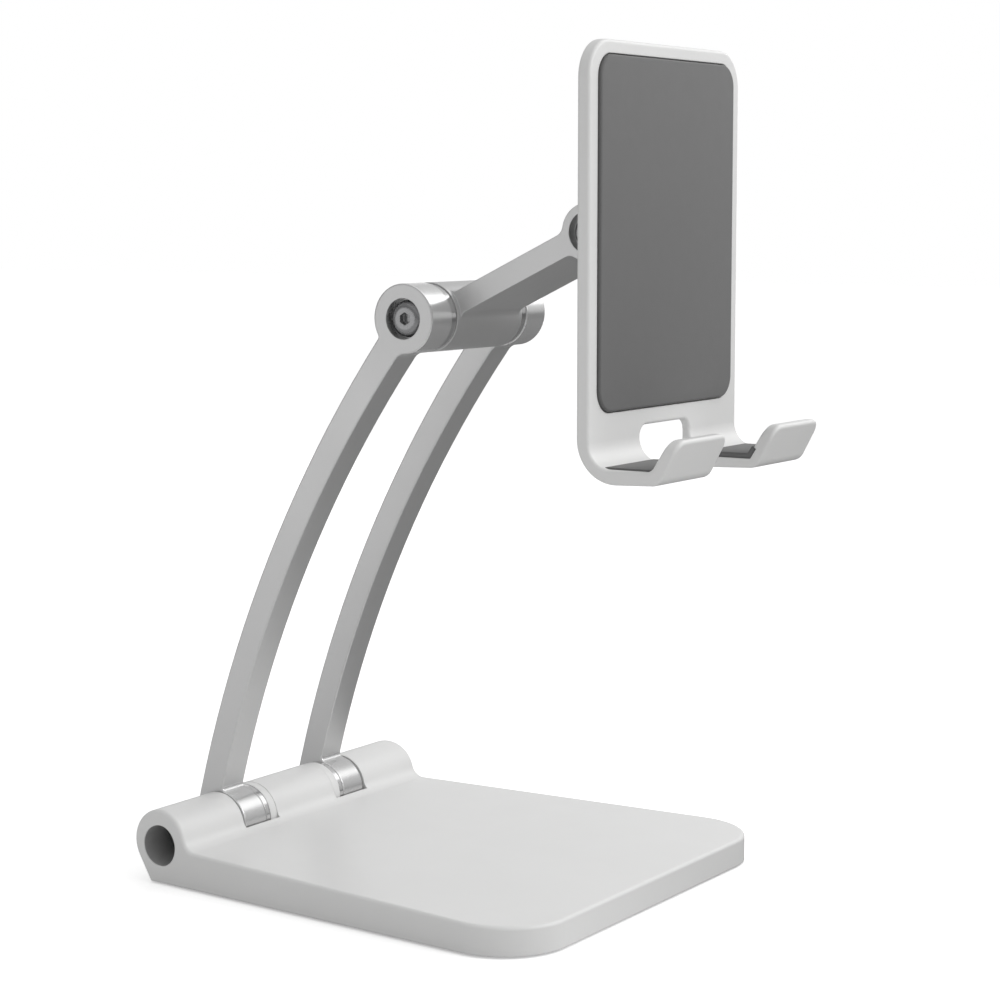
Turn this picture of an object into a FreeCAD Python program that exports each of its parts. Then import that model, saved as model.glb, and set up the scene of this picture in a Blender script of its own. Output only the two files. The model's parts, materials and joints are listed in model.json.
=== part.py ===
"""Phone stand: flared base with a barrel hinge, two curved rails, one upper arm and a tilting phone holder.

Frame: X runs along the hinge barrels, -Y is the user's side, +Z is up. The origin lies on the table under the
middle of the base. Lengths are millimetres. Side profiles are drawn in the YZ plane and run along X.
"""
import FreeCAD, Part
import Sketcher
import math
import os

Vector = FreeCAD.Vector

SIZES = (
    # base shell, heights measured from its lower rim
    ("rim_gap", 0.5, "lower rim of the shell above the table"),
    ("hinge_back", 50.0, "base hinge axis behind the middle of the base"),
    ("hinge_rise", 9.3, "base hinge axis above the rim"),
    ("barrel_radius", 7.5, "outside radius of the base barrel"),
    ("barrel_half", 45.0, "half length of the base barrel"),
    ("front_reach", 103.7, "hinge axis to the front edge of the base"),
    ("front_half", 55.1, "half width of the base at its front edge"),
    ("plate_front_rise", 6.2, "plate height at the front edge"),
    ("plate_rear_rise", 8.55, "plate height carried back to the hinge axis"),
    ("heel_back", 3.3, "heel line meets the rim this far behind the axis"),
    ("heel_angle", 30.0, "heel line leaves the barrel this far below level, degrees"),
    ("valley_radius", 3.5, "hollow between plate and barrel"),
    ("corner_radius", 15.0, "front corners in plan"),
    ("rim_round", 0.8, "rounding of the upper rim of the shell"),
    ("slot_inner", 11.3, "inner wall of a knuckle slot"),
    ("slot_outer", 23.9, "outer wall of a knuckle slot"),
    ("slot_radius", 7.9, "clearance radius inside a knuckle slot"),
    ("slot_front", 8.5, "front wall of a knuckle slot, from the axis"),
    ("end_recess_radius", 4.7, "round recess in each end of the barrel"),
    ("end_recess_depth", 11.0, "depth of that recess"),
    ("bore_drop", 0.75, "the left recess lies this far below the hinge axis"),
    ("hinge_bore", 2.56, "radius of bores round the 5 mm bolts"),
    ("cavity_rise", 4.2, "ceiling of the underside cavity"),
    ("cavity_rear", 12.5, "rear wall of the cavity, from the hinge axis"),
    ("wall", 2.6, "side wall of the shell"),
    # cover, ballast, screws and feet under the base
    ("cover_low", 0.3, "underside of the cover above the rim"),
    ("cover_high", 1.5, "top of the cover above the rim"),
    ("cover_gap", 0.25, "gap between cover and shell wall"),
    ("ballast_inset", 1.0, "ballast plate inside the cavity wall"),
    ("boss_radius", 3.0, "screw bosses in the cavity"),
    ("boss_gap", 0.4, "ballast holes round the bosses"),
    ("small_bore", 1.27, "radius of holes round the 2.5 mm screws"),
    ("small_shank", 1.25, "radius of the 2.5 mm screws"),
    ("small_head", 2.2, "head radius of the 2.5 mm screws"),
    ("boss_bore_top", 5.0, "top of the screw holes in the bosses"),
    ("cover_sink_radius", 2.5, "counterbores in the cover"),
    ("cover_sink_depth", 0.8, "depth of those counterbores"),
    ("cover_screw_length", 3.2, "shank length of a cover screw"),
    ("cover_screw_head", 0.7, "head height of a cover screw"),
    ("boss_rear_x", 36.0, "rear bosses, across"),
    ("boss_rear_y", 19.0, "rear bosses, along"),
    ("boss_front_x", 40.0, "front bosses, across"),
    ("boss_front_y", -33.0, "front bosses, along"),
    ("mat_inset", 6.0, "edge of the anti-slip mat inside the side wall"),
    ("mat_corner", 6.5, "corners of the mat"),
    # rails, seen from the base hinge axis
    ("rail_inner", 15.3, "inner face of a rail"),
    ("rail_outer", 23.3, "outer face of a rail"),
    ("knuckle_radius", 7.5, "round foot of a rail"),
    ("rear_arc_y", -288.1, "centre of the rear rail edge, along"),
    ("rear_arc_z", -68.4, "centre of the rear rail edge, up"),
    ("front_arc_y", -279.3, "centre of the front rail edge, along"),
    ("front_arc_z", -65.0, "centre of the front rail edge, up"),
    ("front_arc_radius", 288.2, "radius of the front rail edge"),
    ("mid_reach", 52.6, "middle hinge in front of the base hinge"),
    ("mid_rise", 119.1, "middle hinge above the base hinge"),
    ("eye_radius", 7.7, "round eye at the head of a rail"),
    ("eye_neck", 3.0, "hollow between rail front and eye"),
    ("eye_nape", 0.7, "hollow between rail rear and eye"),
    ("foot_flare", 1.2, "hollow between rail front and knuckle"),
    ("rail_round", 0.35, "rounding of the long rail edges"),
    ("eye_recess_radius", 4.5, "round recess in the outer face of an eye"),
    ("head_recess", 3.0, "depth of the recess round the bolt head"),
    ("nut_recess", 5.0, "depth of the recess round the nut"),
    ("bush_radius", 4.0, "outside radius of the plain bushes"),
    ("bush_bore", 4.02, "bores that hold the plain bushes"),
    # hinge bolts of 5 mm
    ("shank_radius", 2.5, "shank of the 5 mm hinge bolts"),
    ("nut_bore", 2.52, "bore of the 5 mm nuts"),
    ("key_flats", 2.5, "hexagon socket across flats"),
    ("nut_flats", 7.6, "nuts across flats"),
    ("base_head_radius", 3.7, "head of the base hinge bolt"),
    ("base_head_height", 4.0, "height of that head"),
    ("base_tail", 41.2, "free end of the base hinge bolt"),
    ("mid_head_radius", 4.1, "head of the middle hinge bolt"),
    ("mid_head_height", 2.3, "height of that head"),
    ("head_crown", 0.9, "rounding of the bolt heads"),
    ("mid_head_crown", 1.8, "rounding of the domed head of the middle bolt"),
    ("socket_depth", 1.5, "depth of the bolt sockets"),
    ("mid_tail", 23.0, "free end of the middle hinge bolt"),
    ("flat_washer_radius", 4.3, "plain washer under a nut"),
    ("flat_washer_thickness", 1.0, "thickness of that washer"),
    ("washer_bore", 2.62, "bore of washers on the 5 mm bolts"),
    ("dish_radius", 4.2, "dished spring washer"),
    ("dish_gauge", 0.5, "sheet thickness of a dished washer"),
    ("dish_rise", 0.3, "dish of a dished washer"),
    ("base_nut_height", 3.8, "height of the base hinge nut"),
    ("mid_nut_height", 2.9, "height of the middle hinge nut"),
    # rings between the knuckles and the base barrel
    ("slip_radius", 6.8, "thin friction washer on the outer side"),
    ("slip_thickness", 0.5, "thickness of that washer"),
    ("ring_radius", 7.4, "polished steel ring on the inner side"),
    ("ring_inner", 13.75, "inner face of that ring"),
    ("ring_outer", 15.25, "outer face of that ring"),
    ("collar_radius", 7.45, "painted collar beside the ring"),
    ("collar_inner", 11.35, "inner face of that collar"),
    ("collar_outer", 13.7, "outer face of that collar"),
    # upper arm, drawn level from the middle hinge
    ("arm_rise", 25.4, "slope of the upper arm, degrees"),
    ("arm_length", 44.06, "middle hinge to tip hinge"),
    ("arm_barrel_radius", 7.7, "barrel between the two rails"),
    ("arm_barrel_half", 13.2, "half length of that barrel"),
    ("arm_half_width", 12.0, "half width of the arm"),
    ("arm_half_depth", 2.5, "half thickness of the arm"),
    ("arm_root_hollow", 2.0, "hollow between arm and barrel"),
    ("arm_tip_hollow", 2.5, "hollow between arm and ears"),
    ("ear_radius", 6.2, "round ears at the tip of the arm"),
    ("fork_half", 7.1, "half width of the fork slot"),
    ("fork_root", 6.9, "fork slot behind the tip hinge"),
    ("mid_bush_inner", 2.0, "inner end of a middle hinge bush"),
    ("mid_bush_outer", 13.1, "outer end of a middle hinge bush"),
    ("mid_washer_radius", 7.45, "polished washers of the middle hinge"),
    ("mid_washer_inner", 13.3, "inner face of those washers"),
    ("mid_washer_outer", 15.25, "outer face of those washers"),
    # tip hinge
    ("tip_bore", 2.05, "bores round the 4 mm bolt"),
    ("tip_shank", 2.0, "shank of the 4 mm bolt"),
    ("tip_head_radius", 3.6, "head of the 4 mm bolt"),
    ("tip_head_height", 1.9, "height of that head"),
    ("tip_recess_radius", 4.5, "round recess in each ear"),
    ("tip_head_recess", 2.4, "depth of the recess round the head"),
    ("tip_nut_recess", 2.6, "depth of the recess round the nut"),
    ("tip_nut_flats", 6.8, "4 mm nut across flats"),
    ("tip_nut_height", 1.7, "height of the 4 mm nut"),
    ("tip_nut_bore", 2.02, "bore of the 4 mm nut"),
    ("tip_spring_thickness", 0.6, "spring washer under that nut"),
    ("tip_washer_radius", 5.2, "friction washers beside the lug"),
    ("tip_washer_inner", 6.15, "inner face of those washers"),
    ("tip_washer_outer", 7.05, "outer face of those washers"),
    # holder, seen from the tip hinge
    ("lug_half", 6.1, "half width of the bracket lug"),
    ("lug_radius", 5.6, "round end of the lug"),
    ("lug_web", 4.5, "half height of the web behind the lug"),
    ("bracket_half_width", 15.0, "half width of the bracket foot"),
    ("bracket_half_height", 11.0, "half height of the bracket foot"),
    ("bracket_rear", -7.0, "free face of the bracket foot"),
    ("bracket_corner", 3.0, "corners of the bracket foot"),
    ("bracket_screw_x", 11.0, "bracket screws, across"),
    ("bracket_screw_z", 7.6, "bracket screws, up"),
    ("bracket_bore_depth", 2.2, "blind holes in the bracket foot"),
    ("plate_rear", -9.7, "rear face of the holder plate"),
    ("plate_front", -12.7, "front face of the holder plate"),
    ("plate_half", 32.5, "half width of the holder"),
    ("plate_top", 39.3, "top of the holder"),
    ("heel_low", -51.4, "underside of the hooks at the bend"),
    ("toe_y", -29.2, "lower front corner of a hook, along"),
    ("toe_low", -50.7, "lower front corner of a hook, up"),
    ("lip_front", -34.2, "front of a hook lip"),
    ("lip_rear", -31.3, "rear of a hook lip at its top"),
    ("lip_top", -41.2, "top of a hook lip"),
    ("floor_y", -27.2, "hook floor meets the lip"),
    ("floor_top", -47.9, "hook floor"),
    ("bend_outer", 9.0, "outer bend of the hooks"),
    ("bend_inner", 5.0, "inner bend of the hooks"),
    ("lip_bend", 2.0, "bend between hook floor and lip"),
    ("toe_round", 3.0, "rounding below a lip"),
    ("lip_corner", 3.0, "corners of a lip"),
    ("plate_corner", 8.0, "top corners of the holder"),
    ("plate_round", 0.7, "rounding round the holder edges"),
    ("gap_half", 10.8, "half width of the cable opening between the hooks"),
    ("gap_top", -40.6, "top of the cable opening"),
    ("gap_corner", 2.6, "corners of the cable opening"),
    ("relief_width", 2.2, "width of the relief behind the cable opening"),
    ("relief_depth", 1.3, "depth of that relief"),
    ("pad_half", 28.9, "half width of the back pad"),
    ("pad_low", -36.8, "lower edge of the back pad"),
    ("pad_high", 36.2, "upper edge of the back pad"),
    ("pad_corner", 4.8, "corners of the back pad"),
    ("pad_sink", 1.2, "depth of the pad recess"),
    ("pad_thickness", 1.9, "thickness of the back pad"),
    ("pad_clear", 0.3, "gap round a pad in its recess"),
    ("plate_sink_radius", 2.3, "counterbores for the bracket screws"),
    ("plate_sink_depth", 0.9, "depth of those counterbores"),
    ("bracket_screw_length", 2.8, "shank length of a bracket screw"),
    ("bracket_screw_head", 0.85, "head height of a bracket screw"),
    ("ledge_outer", 31.3, "outer end of a ledge pad"),
    ("ledge_rear", -15.8, "rear edge of a ledge pad"),
    ("ledge_low", -48.7, "underside of a ledge pad"),
    ("ledge_toe", -27.6, "lower front corner of a ledge pad"),
    ("ledge_tip_y", -29.0, "front edge of a ledge pad, along"),
    ("ledge_tip_z", -46.5, "front edge of a ledge pad, up"),
    ("ledge_lip_y", -27.9, "upper front edge of a ledge pad, along"),
    ("ledge_lip_z", -45.85, "upper front edge of a ledge pad, up"),
    ("ledge_bend", -26.85, "top of a ledge pad at the lip"),
    ("ledge_top", -47.5, "top of a ledge pad"),
)

doc = FreeCAD.newDocument("phone_stand")
dims = doc.addObject("Spreadsheet::Sheet", "dims")
for row, (alias, value, note) in enumerate(SIZES, start=1):
    dims.set("A%d" % row, note)
    dims.set("B%d" % row, str(value))
    dims.setAlias("B%d" % row, alias)
doc.recompute()

parts = []


def number(formula):
    """Value of a formula over the sizes, in millimetres or degrees."""
    return float(dims.evalExpression(formula))


def bind(thing, path, formula):
    """Tie a property to a formula; plain constants need no tie."""
    if "dims." in formula:
        thing.setExpression(path, formula)


def half_width(distance):
    """Half width of the flared plan at a distance in front of the hinge axis."""
    return ("(dims.barrel_half + (dims.front_half - dims.barrel_half) * (%s) / dims.front_reach)" % distance)


def span(side, near, far):
    """Low and high X of a piece between two distances from the middle, on the left (-1) or right (1)."""
    if side < 0:
        return ("-(%s)" % far, "-(%s)" % near)
    return (near, far)


def make_body(label, place=("0", "0", "0"), tilted=False):
    """A body with its own label and placement, the placement tied to the sizes."""
    body = doc.addObject("PartDesign::Body", label)
    body.Label = label
    turn = FreeCAD.Rotation(Vector(1, 0, 0), -number("dims.arm_rise") if tilted else 0.0)
    body.Placement = FreeCAD.Placement(Vector(*[number(formula) for formula in place]), turn)
    for axis, formula in zip("xyz", place):
        bind(body, "Placement.Base." + axis, formula)
    if tilted:
        body.setExpression("Placement.Rotation.Angle", "-dims.arm_rise")
    return body


def keep(item):
    parts.append(item)
    return item


def sketch_on(body, role, name, offset):
    """A sketch on one of the body's own origin planes, moved along the plane's normal."""
    sketch = doc.addObject("Sketcher::SketchObject", name)
    body.addObject(sketch)
    for feature in body.Origin.OriginFeatures:
        if feature.Role == role:
            sketch.AttachmentSupport = [(feature, "")]
    sketch.MapMode = "FlatFace"
    sketch.AttachmentOffset = FreeCAD.Placement(Vector(0, 0, number(offset)), FreeCAD.Rotation())
    bind(sketch, "AttachmentOffset.Base.z", offset)
    return sketch


def fix_value(sketch, constraint, formula):
    index = sketch.addConstraint(constraint)
    bind(sketch, "Constraints[%d]" % index, formula)


def fix_point(sketch, item, point, across, up):
    fix_value(sketch, Sketcher.Constraint("DistanceX", item, point, number(across)), across)
    fix_value(sketch, Sketcher.Constraint("DistanceY", item, point, number(up)), up)


def polygon(sketch, corners):
    """Closed polygon through corners given as formulas."""
    first = sketch.GeometryCount
    spots = [Vector(number(across), number(up), 0) for across, up in corners]
    count = len(spots)
    for i in range(count):
        sketch.addGeometry(Part.LineSegment(spots[i], spots[(i + 1) % count]), False)
    for i in range(count):
        sketch.addConstraint(Sketcher.Constraint("Coincident", first + i, 2, first + (i + 1) % count, 1))
    for i, (across, up) in enumerate(corners):
        fix_point(sketch, first + i, 1, across, up)


def rectangle(sketch, left, right, low, high):
    polygon(sketch, ((left, low), (right, low), (right, high), (left, high)))


def circle(sketch, across, up, radius):
    item = sketch.GeometryCount
    middle = Vector(number(across), number(up), 0)
    sketch.addGeometry(Part.Circle(middle, Vector(0, 0, 1), number(radius)), False)
    fix_point(sketch, item, 3, across, up)
    fix_value(sketch, Sketcher.Constraint("Radius", item, number(radius)), radius)


def hexagon(sketch, across, up, flats):
    corners = []
    for angle in range(30, 390, 60):
        reach = "(%s) / 2 / cos(30)" % flats
        corners.append(("%s + %s * cos(%d)" % (across, reach, angle),
                        "%s + %s * sin(%d)" % (up, reach, angle)))
    polygon(sketch, corners)


def crossing(first, second, rightmost):
    """The crossing of two circles (centre, radius) that lies further along, or less far along, the Y axis."""
    (centre, radius), (other, reach) = first, second
    offset = other - centre
    gap = offset.Length
    along = (gap ** 2 + radius ** 2 - reach ** 2) / (2 * gap)
    across = max(radius ** 2 - along ** 2, 0.0) ** 0.5
    unit = offset * (1 / gap)
    normal = Vector(-unit.y, unit.x, 0)
    spots = sorted((centre + unit * along + normal * across, centre + unit * along - normal * across),
                   key=lambda spot: spot.x)
    return spots[1] if rightmost else spots[0]


def rail_outline(sketch):
    """Side view of a rail: knuckle, rear edge, eye and front edge as four arcs.

    The rear edge leaves the knuckle smoothly, so its radius follows from its centre.
    """
    knuckle = (Vector(0, 0, 0), number("dims.knuckle_radius"))
    eye = (Vector(-number("dims.mid_reach"), number("dims.mid_rise"), 0), number("dims.eye_radius"))
    front = (Vector(number("dims.front_arc_y"), number("dims.front_arc_z"), 0),
             number("dims.front_arc_radius"))
    rear_middle = Vector(number("dims.rear_arc_y"), number("dims.rear_arc_z"), 0)
    rear = (rear_middle, rear_middle.Length + knuckle[1])
    heel = rear_middle * (-knuckle[1] / rear_middle.Length)
    nape = crossing(eye, rear, True)
    throat = min((crossing(eye, front, True), crossing(eye, front, False)), key=lambda spot: spot.y)
    toe = max((crossing(knuckle, front, True), crossing(knuckle, front, False)), key=lambda spot: spot.y)
    for (middle, radius), start, end in ((rear, heel, nape), (eye, nape, throat), (front, toe, throat),
                                         (knuckle, toe, heel)):
        angles = [math.atan2(spot.y - middle.y, spot.x - middle.x) for spot in (start, end)]
        if angles[1] < angles[0]:
            angles[1] += 2 * math.pi
        sketch.addGeometry(Part.ArcOfCircle(Part.Circle(middle, Vector(0, 0, 1), radius), *angles), False)
    sketch.addConstraint(Sketcher.Constraint("Coincident", 0, 2, 1, 1))
    sketch.addConstraint(Sketcher.Constraint("Coincident", 1, 2, 2, 2))
    sketch.addConstraint(Sketcher.Constraint("Coincident", 2, 1, 3, 1))
    fix_point(sketch, 0, 3, "dims.rear_arc_y", "dims.rear_arc_z")
    for item, across, up, radius in ((1, "-dims.mid_reach", "dims.mid_rise", "dims.eye_radius"),
                                     (2, "dims.front_arc_y", "dims.front_arc_z", "dims.front_arc_radius"),
                                     (3, "0", "0", "dims.knuckle_radius")):
        fix_point(sketch, item, 3, across, up)
        fix_value(sketch, Sketcher.Constraint("Radius", item, number(radius)), radius)
    sketch.addConstraint(Sketcher.Constraint("Tangent", 3, 2, 0, 1))


def shape_step(body, name, role, draw, low, high, cut=False):
    """Pad or pocket between two planes across the axis the role's plane looks along."""
    if role == "XZ_Plane":
        start = "-(%s)" % (low if cut else high)
    else:
        start = high if cut else low
    sketch = sketch_on(body, role, name + "_sketch", start)
    draw(sketch)
    step = body.newObject("PartDesign::Pocket" if cut else "PartDesign::Pad", name)
    step.Profile = sketch
    length = "(%s) - (%s)" % (high, low)
    step.Length = number(length)
    bind(step, "Length", length)
    before = body.Shape.Volume if cut else 0.0
    doc.recompute()
    if cut and not body.Shape.Volume < before - 1e-6:
        raise RuntimeError("%s in %s removes nothing" % (name, body.Label))
    return step


def round_edges(body, name, radius, chosen):
    """Round the edges of the body's last step that the test picks."""
    last = body.Tip
    names = []
    for index, edge in enumerate(last.Shape.Edges, start=1):
        if chosen(edge):
            names.append("Edge%d" % index)
    if not names:
        raise RuntimeError("no edges for %s in %s" % (name, body.Label))
    step = body.newObject("PartDesign::Fillet", name)
    step.Base = (last, names)
    step.Radius = number(radius)
    bind(step, "Radius", radius)
    doc.recompute()
    return step


def middle_of(edge):
    return edge.valueAt((edge.FirstParameter + edge.LastParameter) / 2)


def runs_along(edge, axis):
    """True when a straight edge is parallel to an axis."""
    if edge.Curve.TypeId != "Part::GeomLine":
        return False
    return abs(abs(edge.Curve.Direction.dot(axis)) - 1) < 1e-6


def turned(label, profile, place, tilted=False):
    """A piece turned about the X axis from (distance along, radius) corners."""
    body = make_body(label, place, tilted)
    sketch = sketch_on(body, "XY_Plane", label + "_sketch", "0")
    polygon(sketch, profile)
    step = body.newObject("PartDesign::Revolution", label + "_turn")
    step.Profile = sketch
    step.ReferenceAxis = (sketch, ["H_Axis"])
    step.Angle = 360.0
    doc.recompute()
    return body


def ring(label, place, low, high, outer, inner, tilted=False):
    """A plain ring round the X axis between two planes."""
    return turned(label, ((low, inner), (high, inner), (high, outer), (low, outer)), place, tilted)


def cap_bolt(label, place, seat, tail, head_radius, head_height, shank, crown="dims.head_crown",
             tilted=False):
    """A hinge bolt with its head on the left, a rounded crown and a hexagon socket."""
    top = "%s - %s" % (seat, head_height)
    profile = ((top, "0"), (top, head_radius), (seat, head_radius), (seat, shank), (tail, shank), (tail, "0"))
    body = turned(label, profile, place, tilted)
    edge_at = number(top)
    round_edges(body, label + "_crown", crown,
                lambda edge: abs(edge.BoundBox.XMax - edge_at) < 1e-4 and edge.BoundBox.XLength < 1e-4
                and edge.Curve.TypeId == "Part::GeomCircle")
    shape_step(body, label + "_socket", "YZ_Plane",
               lambda sketch: hexagon(sketch, "0", "0", "dims.key_flats"),
               top, "%s + dims.socket_depth" % top, cut=True)
    return body


def hex_nut(label, place, low, height, flats, bore, tilted=False):
    body = make_body(label, place, tilted)

    def draw(sketch):
        hexagon(sketch, "0", "0", flats)
        circle(sketch, "0", "0", bore)

    shape_step(body, label + "_pad", "YZ_Plane", draw, low, "%s + %s" % (low, height))
    return body


def dished_pair(label, place, start, tilted=False):
    """Two dished spring washers that meet at their outer rims, as one group."""
    rings = []
    for index, flip in enumerate((1, -1)):
        near = start if flip > 0 else "%s + 2 * (dims.dish_gauge + dims.dish_rise)" % start
        step = "+" if flip > 0 else "-"
        profile = ((near, "dims.washer_bore"),
                   ("%s %s dims.dish_gauge" % (near, step), "dims.washer_bore"),
                   ("%s %s (dims.dish_gauge + dims.dish_rise)" % (near, step), "dims.dish_radius"),
                   ("%s %s dims.dish_rise" % (near, step), "dims.dish_radius"))
        rings.append(turned("%s_%d" % (label, index + 1), profile, place, tilted))
    group = doc.addObject("Part::Compound", label)
    group.Label = label
    group.Links = rings
    doc.recompute()
    return group


def headed_screw(label, place, normal_to, head_height, length):
    """A 2.5 mm screw; its head bears on the local zero plane and its shank runs up (Z) or to the rear (Y)."""
    body = make_body(label, place)
    signs = ("dims.small_head", "-%s" % head_height, "0"), ("dims.small_shank", "0", length)
    for index, (radius, low, high) in enumerate(signs):
        shape_step(body, "%s_pad%d" % (label, index), normal_to,
                   lambda sketch, radius=radius: circle(sketch, "0", "0", radius), low, high)
    return body


def screw_group(label, places, normal_to, head_height, length):
    screws = [headed_screw("%s_%d" % (label, index + 1), place, normal_to, head_height, length)
              for index, place in enumerate(places)]
    group = doc.addObject("Part::Compound", label)
    group.Label = label
    group.Links = screws
    doc.recompute()
    return group


AXIS_X = Vector(1, 0, 0)
AXIS_Y = Vector(0, 1, 0)
AXIS_Z = Vector(0, 0, 1)

BASE_AT = ("0", "0", "dims.rim_gap")
HINGE_AT = ("0", "dims.hinge_back", "dims.rim_gap + dims.hinge_rise")
MID_AT = ("0", "dims.hinge_back - dims.mid_reach", "dims.rim_gap + dims.hinge_rise + dims.mid_rise")
TIP_AT = ("0", "dims.hinge_back - dims.mid_reach - dims.arm_length * cos(dims.arm_rise)",
          "dims.rim_gap + dims.hinge_rise + dims.mid_rise + dims.arm_length * sin(dims.arm_rise)")
SIDES = (("left", -1), ("right", 1))


# ---------------------------------------------------------------- base shell
def base_profile(sketch):
    """Wedge plate and heel, up to the barrel axis."""
    polygon(sketch, (
        ("dims.hinge_back - dims.front_reach", "0"),
        ("dims.hinge_back + dims.heel_back", "0"),
        ("dims.hinge_back + dims.barrel_radius * cos(dims.heel_angle)",
         "dims.hinge_rise - dims.barrel_radius * sin(dims.heel_angle)"),
        ("dims.hinge_back", "dims.hinge_rise"),
        ("dims.hinge_back", "dims.plate_rear_rise"),
        ("dims.hinge_back - dims.front_reach", "dims.plate_front_rise")))


def plan_outline(sketch, inset, rear):
    """Flared plan of the base, its walls moved inwards by an inset, ending at a rear line."""
    front = "dims.hinge_back - dims.front_reach + %s" % inset
    reach = "dims.hinge_back - (%s)" % rear
    near = "%s - %s" % (half_width(reach), inset)
    far = "%s - %s" % (half_width("dims.front_reach - %s" % inset), inset)
    polygon(sketch, (("-(%s)" % near, rear), ("-(%s)" % far, front), (far, front), (near, rear)))


def waste_outside_plan(sketch):
    """Everything outside the plan: a large frame round the flared outline with its square barrel ends."""
    polygon(sketch, (("-80", "-70"), ("80", "-70"), ("80", "80"), ("-80", "80")))
    front = "dims.hinge_back - dims.front_reach"
    polygon(sketch, (
        ("-dims.barrel_half", "dims.hinge_back + 20"), ("-dims.barrel_half", "dims.hinge_back"),
        ("-dims.front_half", front), ("dims.front_half", front),
        ("dims.barrel_half", "dims.hinge_back"), ("dims.barrel_half", "dims.hinge_back + 20")))


shell = keep(make_body("base_shell", BASE_AT))
shape_step(shell, "shell_wedge", "YZ_Plane", base_profile, "-dims.front_half - 2", "dims.front_half + 2")
shape_step(shell, "shell_barrel", "YZ_Plane",
           lambda sketch: circle(sketch, "dims.hinge_back", "dims.hinge_rise", "dims.barrel_radius"),
           "-dims.barrel_half - 2", "dims.barrel_half + 2")
round_edges(shell, "shell_valley", "dims.valley_radius",
            lambda edge: runs_along(edge, AXIS_X) and 7.5 < middle_of(edge).z < 9.2
            and number("dims.hinge_back") - 8.2 < middle_of(edge).y < number("dims.hinge_back") - 6)
shape_step(shell, "shell_plan", "XY_Plane", waste_outside_plan, "-1", "30", cut=True)
shape_step(shell, "shell_cavity", "XY_Plane",
           lambda sketch: plan_outline(sketch, "dims.wall", "dims.hinge_back - dims.cavity_rear"),
           "-1", "dims.cavity_rise", cut=True)
round_edges(shell, "cavity_corners", "dims.corner_radius - dims.wall",
            lambda edge: runs_along(edge, AXIS_Z) and -52 < middle_of(edge).y < -50)
round_edges(shell, "shell_corners", "dims.corner_radius",
            lambda edge: runs_along(edge, AXIS_Z) and middle_of(edge).y < -53)
round_edges(shell, "shell_rim", "dims.rim_round",
            lambda edge: middle_of(edge).z > 5 and abs(middle_of(edge).x) > 1
            and not runs_along(edge, AXIS_X) or runs_along(edge, AXIS_X) and middle_of(edge).y < -50
            and middle_of(edge).z > 5)

for side_name, side in SIDES:
    low, high = span(side, "dims.slot_inner", "dims.slot_outer")
    shape_step(shell, "slot_round_" + side_name, "YZ_Plane",
               lambda sketch: circle(sketch, "dims.hinge_back", "dims.hinge_rise", "dims.slot_radius"),
               low, high, cut=True)
    shape_step(shell, "slot_open_" + side_name, "YZ_Plane",
               lambda sketch: rectangle(sketch, "dims.hinge_back - dims.slot_front", "dims.hinge_back + 12",
                                        "dims.hinge_rise", "dims.hinge_rise + 12"),
               low, high, cut=True)
    low, high = span(side, "dims.barrel_half - dims.end_recess_depth", "dims.barrel_half + 1")
    recess_rise = "dims.hinge_rise - dims.bore_drop" if side < 0 else "dims.hinge_rise"
    shape_step(shell, "end_recess_" + side_name, "YZ_Plane",
               lambda sketch: circle(sketch, "dims.hinge_back", recess_rise, "dims.end_recess_radius"),
               low, high, cut=True)
shape_step(shell, "shell_bore", "YZ_Plane",
           lambda sketch: circle(sketch, "dims.hinge_back", "dims.hinge_rise", "dims.hinge_bore"),
           "-dims.barrel_half", "dims.barrel_half", cut=True)
BOSSES = [("%s * dims.boss_%s_x" % (sign, row), "dims.boss_%s_y" % row)
          for row in ("rear", "front") for sign in ("-1", "1")]


def circles_at(spots, radius):
    def draw(sketch):
        for across, up in spots:
            circle(sketch, across, up, radius)
    return draw


shape_step(shell, "shell_bosses", "XY_Plane", circles_at(BOSSES, "dims.boss_radius"),
           "dims.cover_high", "dims.cavity_rise + 0.2")
shape_step(shell, "boss_holes", "XY_Plane", circles_at(BOSSES, "dims.small_bore"),
           "dims.cover_high - 1", "dims.boss_bore_top", cut=True)

# ---------------------------------------------------------------- underside
cover = keep(make_body("bottom_cover", BASE_AT))
shape_step(cover, "cover_plate", "XY_Plane",
           lambda sketch: plan_outline(sketch, "(dims.wall + dims.cover_gap)",
                                       "dims.hinge_back - dims.cavity_rear - dims.cover_gap"),
           "dims.cover_low", "dims.cover_high")
round_edges(cover, "cover_corners", "dims.corner_radius - dims.wall - dims.cover_gap",
            lambda edge: runs_along(edge, AXIS_Z) and middle_of(edge).y < -40)
shape_step(cover, "cover_holes", "XY_Plane", circles_at(BOSSES, "dims.small_bore + 0.1"),
           "dims.cover_low - 1", "dims.cover_high + 1", cut=True)
shape_step(cover, "cover_sinks", "XY_Plane", circles_at(BOSSES, "dims.cover_sink_radius"),
           "dims.cover_low - 1", "dims.cover_low + dims.cover_sink_depth", cut=True)

ballast = keep(make_body("ballast_plate", BASE_AT))
shape_step(ballast, "ballast_slab", "XY_Plane",
           lambda sketch: plan_outline(sketch, "(dims.wall + dims.ballast_inset)",
                                       "dims.hinge_back - dims.cavity_rear - dims.ballast_inset"),
           "dims.cover_high", "dims.cavity_rise")
round_edges(ballast, "ballast_corners", "dims.corner_radius - dims.wall - dims.ballast_inset",
            lambda edge: runs_along(edge, AXIS_Z) and middle_of(edge).y < -40)
shape_step(ballast, "ballast_holes", "XY_Plane", circles_at(BOSSES, "dims.boss_radius + dims.boss_gap"),
           "dims.cover_high - 1", "dims.cavity_rise + 1", cut=True)

SEAT = "dims.rim_gap + dims.cover_low + dims.cover_sink_depth"
keep(screw_group("cover_screws", [(across, along, SEAT) for across, along in BOSSES], "XY_Plane",
                 "dims.cover_screw_head", "dims.cover_screw_length"))

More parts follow.
